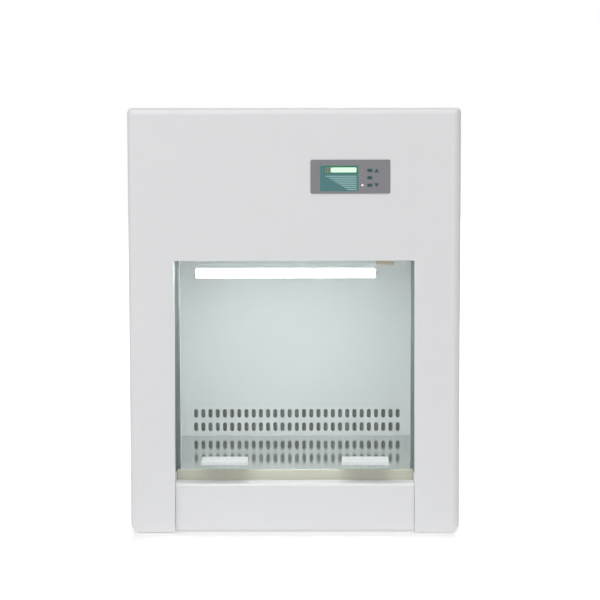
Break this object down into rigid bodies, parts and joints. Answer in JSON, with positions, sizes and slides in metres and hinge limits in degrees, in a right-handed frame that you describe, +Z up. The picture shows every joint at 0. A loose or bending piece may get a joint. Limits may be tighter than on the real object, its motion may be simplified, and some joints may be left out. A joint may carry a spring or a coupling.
{
  "type": "benchtop clean-air work cabinet",
  "caption": "White benchtop clean-air work cabinet with a leaning lift-up glass sash, slotted back wall, polished tray, strip lamp, fan and filter head, and a key panel with a display.",
  "frame": {"origin": "middle of the cabinet's footprint, on the surface that its feet stand on", "axes": "+Z up, +X to the right seen from the front, +Y from the front to the back"},
  "size_m": [0.653, 0.55, 0.84],
  "materials": {
    "white_paint": "satin powder coat",
    "polished_steel": "polished stainless sheet",
    "zinc_sheet": "zinc-coated sheet",
    "seal_strip": "cream elastomer",
    "guide_plastic": "dark grey moulding",
    "sash_glass": "clear toughened sheet",
    "pull_paint": "white coat",
    "foot_rubber": "matt",
    "filter_paper": "pleated glass fibre",
    "filter_frame": "extruded",
    "gasket_foam": "foam",
    "mat_fibre": "coarse fibre mat",
    "motor_black": "satin",
    "wheel_plastic": "moulded",
    "grille_plastic": "moulded",
    "lamp_milk": "milky diffuser",
    "lamp_white": "moulded",
    "connector_beige": "moulded",
    "uv_glass": "clear tube",
    "bezel_grey": "printed film",
    "label_teal": "printed film",
    "lcd_glass": "display window",
    "led_clear": "clear",
    "key_teal": "moulded",
    "board_green": "lacquered laminate",
    "black_plastic": "moulded",
    "pin_brass": "plated",
    "screw_steel": "zinc plated"
  },
  "bodies": {
    "cabinet": {"front_fascia": "white_paint", "right_side_panel": "white_paint", "left_side_panel": "white_paint", "rear_posts": "zinc_sheet", "rear_panel": "white_paint", "top_cover": "white_paint", "base_pan": "zinc_sheet", "rubber_feet": "foot_rubber", "lower_front_panel": "white_paint", "sill_seal": "seal_strip", "work_tray": "polished_steel", "tray_supports": "zinc_sheet", "right_chamber_wall": "white_paint", "left_chamber_wall": "white_paint", "right_chamber_trim": "white_paint", "left_chamber_trim": "white_paint", "chamber_back_wall": "white_paint", "right_sash_guide": "guide_plastic", "left_sash_guide": "guide_plastic", "ceiling_diffuser": "white_paint", "hepa_gasket": "gasket_foam", "hepa_frame": "filter_frame", "hepa_media": "filter_paper", "plenum_casing": "zinc_sheet", "plenum_lid": "zinc_sheet", "inlet_ring": "zinc_sheet", "motor_bridge": "zinc_sheet", "fan_motor": "motor_black", "intake_grille": "grille_plastic", "prefilter_pad": "mat_fibre", "lamp_batten": "filter_frame", "lamp_diffuser": "lamp_milk", "lamp_end_caps": "lamp_white", "lamp_brackets": "white_paint", "lamp_connector": "connector_beige", "uv_tube": "uv_glass", "uv_holders": "lamp_white", "control_bezel": "bezel_grey", "display_label": "label_teal", "lcd_window": "lcd_glass", "indicator_leds": "led_clear", "board_standoffs": "screw_steel", "control_board": "board_green", "power_inlet": "black_plastic", "inlet_pins": "pin_brass", "power_supply": "zinc_sheet", "cover_screws": "screw_steel", "rear_screws": "screw_steel"},
    "sash": {"sash_glass": "sash_glass", "left_sash_pull": "pull_paint", "right_sash_pull": "pull_paint"},
    "fan": {"fan_impeller": "wheel_plastic", "fan_shaft": "screw_steel"},
    "fuse_tray": {"fuse_drawer": "black_plastic"},
    "rocker": {"power_rocker": "black_plastic"},
    "key_top_cap": {"key_top": "key_teal"},
    "key_middle_cap": {"key_middle": "key_teal"},
    "key_bottom_cap": {"key_bottom": "key_teal"},
    "key_up_cap": {"key_up": "key_teal"},
    "key_down_cap": {"key_down": "key_teal"}
  },
  "joints": [
    {"name": "sash_lift", "type": "slide", "parent": "cabinet", "child": "sash", "axis": [0, 0.1097, 0.994], "range_m": [0, 0.26]},
    {"name": "fan_spin", "type": "hinge", "parent": "cabinet", "child": "fan", "pos_m": [0, 0.04075, 0.75], "axis": [0, 0, 1], "continuous": true},
    {"name": "fuse_tray_slide", "type": "slide", "parent": "cabinet", "child": "fuse_tray", "axis": [0, 1, 0], "range_m": [0, 0.02]},
    {"name": "rocker_tilt", "type": "hinge", "parent": "cabinet", "child": "rocker", "pos_m": [0.225, 0.2635, 0.068], "axis": [1, 0, 0], "range_deg": [-20, 0]},
    {"name": "key_top_press", "type": "slide", "parent": "cabinet", "child": "key_top_cap", "axis": [0, 1, 0], "range_m": [0, 0.0005], "stiffness_N_per_m": 2000, "springref_m": -0.0003},
    {"name": "key_middle_press", "type": "slide", "parent": "cabinet", "child": "key_middle_cap", "axis": [0, 1, 0], "range_m": [0, 0.0005], "stiffness_N_per_m": 2000, "springref_m": -0.0003},
    {"name": "key_bottom_press", "type": "slide", "parent": "cabinet", "child": "key_bottom_cap", "axis": [0, 1, 0], "range_m": [0, 0.0005], "stiffness_N_per_m": 2000, "springref_m": -0.0003},
    {"name": "key_up_press", "type": "slide", "parent": "cabinet", "child": "key_up_cap", "axis": [0, 1, 0], "range_m": [0, 0.0005], "stiffness_N_per_m": 2000, "springref_m": -0.0003},
    {"name": "key_down_press", "type": "slide", "parent": "cabinet", "child": "key_down_cap", "axis": [0, 1, 0], "range_m": [0, 0.0005], "stiffness_N_per_m": 2000, "springref_m": -0.0003}
  ]
}
